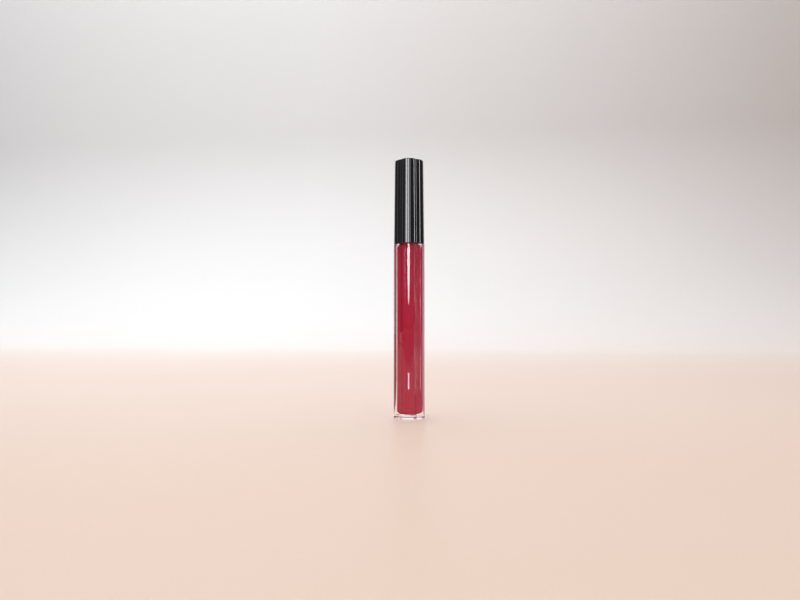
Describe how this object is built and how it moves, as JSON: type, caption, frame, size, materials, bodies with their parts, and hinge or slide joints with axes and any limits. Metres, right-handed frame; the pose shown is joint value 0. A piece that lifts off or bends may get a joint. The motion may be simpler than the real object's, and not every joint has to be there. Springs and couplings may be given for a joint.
{
  "type": "lip gloss tube",
  "caption": "Slim lobed lip gloss tube: clear thick-walled bottle of dark red gloss with a matching black screw cap that holds a flocked wand, wiped as it pulls out.",
  "frame": {"origin": "on the tube's axis, in the plane of the bottle's flat foot", "axes": "+Z along the axis from the foot to the cap; one lobe of the outline points along -Y"},
  "size_m": [0.0142, 0.0139, 0.118],
  "materials": {
    "clear_bottle": "polished clear thick-walled plastic",
    "red_gloss": "dense glossy dark red cosmetic gel",
    "wiper_plastic": "soft milky natural plastic",
    "gasket_foam": "fine white foam",
    "stem_plastic": "smooth black plastic",
    "cap_black": "high gloss black plastic",
    "liner_plastic": "satin black plastic",
    "tip_plastic": "soft natural elastomer",
    "flock_fibre": "short dense white fibres stained by the gloss"
  },
  "bodies": {
    "bottle": {"bottle": "clear_bottle", "wiper": "wiper_plastic", "gloss_fill": "red_gloss"},
    "gasket": {"gasket": "gasket_foam"},
    "stem": {"stem": "stem_plastic"},
    "cap": {"cap_shell": "cap_black", "cap_liner": "liner_plastic", "applicator_core": "tip_plastic", "applicator_flock": "flock_fibre"}
  },
  "joints": [
    {"name": "wand_pull", "type": "slide", "parent": "bottle", "child": "gasket", "axis": [0, 0, 1], "range_m": [0, 0.1], "deforming": ["wiper"]},
    {"name": "thread_rise", "type": "slide", "parent": "gasket", "child": "stem", "axis": [0, 0, 1], "range_m": [0, 0.00375]},
    {"name": "cap_twist", "type": "hinge", "parent": "stem", "child": "cap", "pos_m": [0, 0, 0.0792], "axis": [0, 0, 1], "range_deg": [0, 540]}
  ],
  "couplings": [
    {"joint": "thread_rise", "follows": "cap_twist", "m_per_rad": 0.00039789}
  ]
}
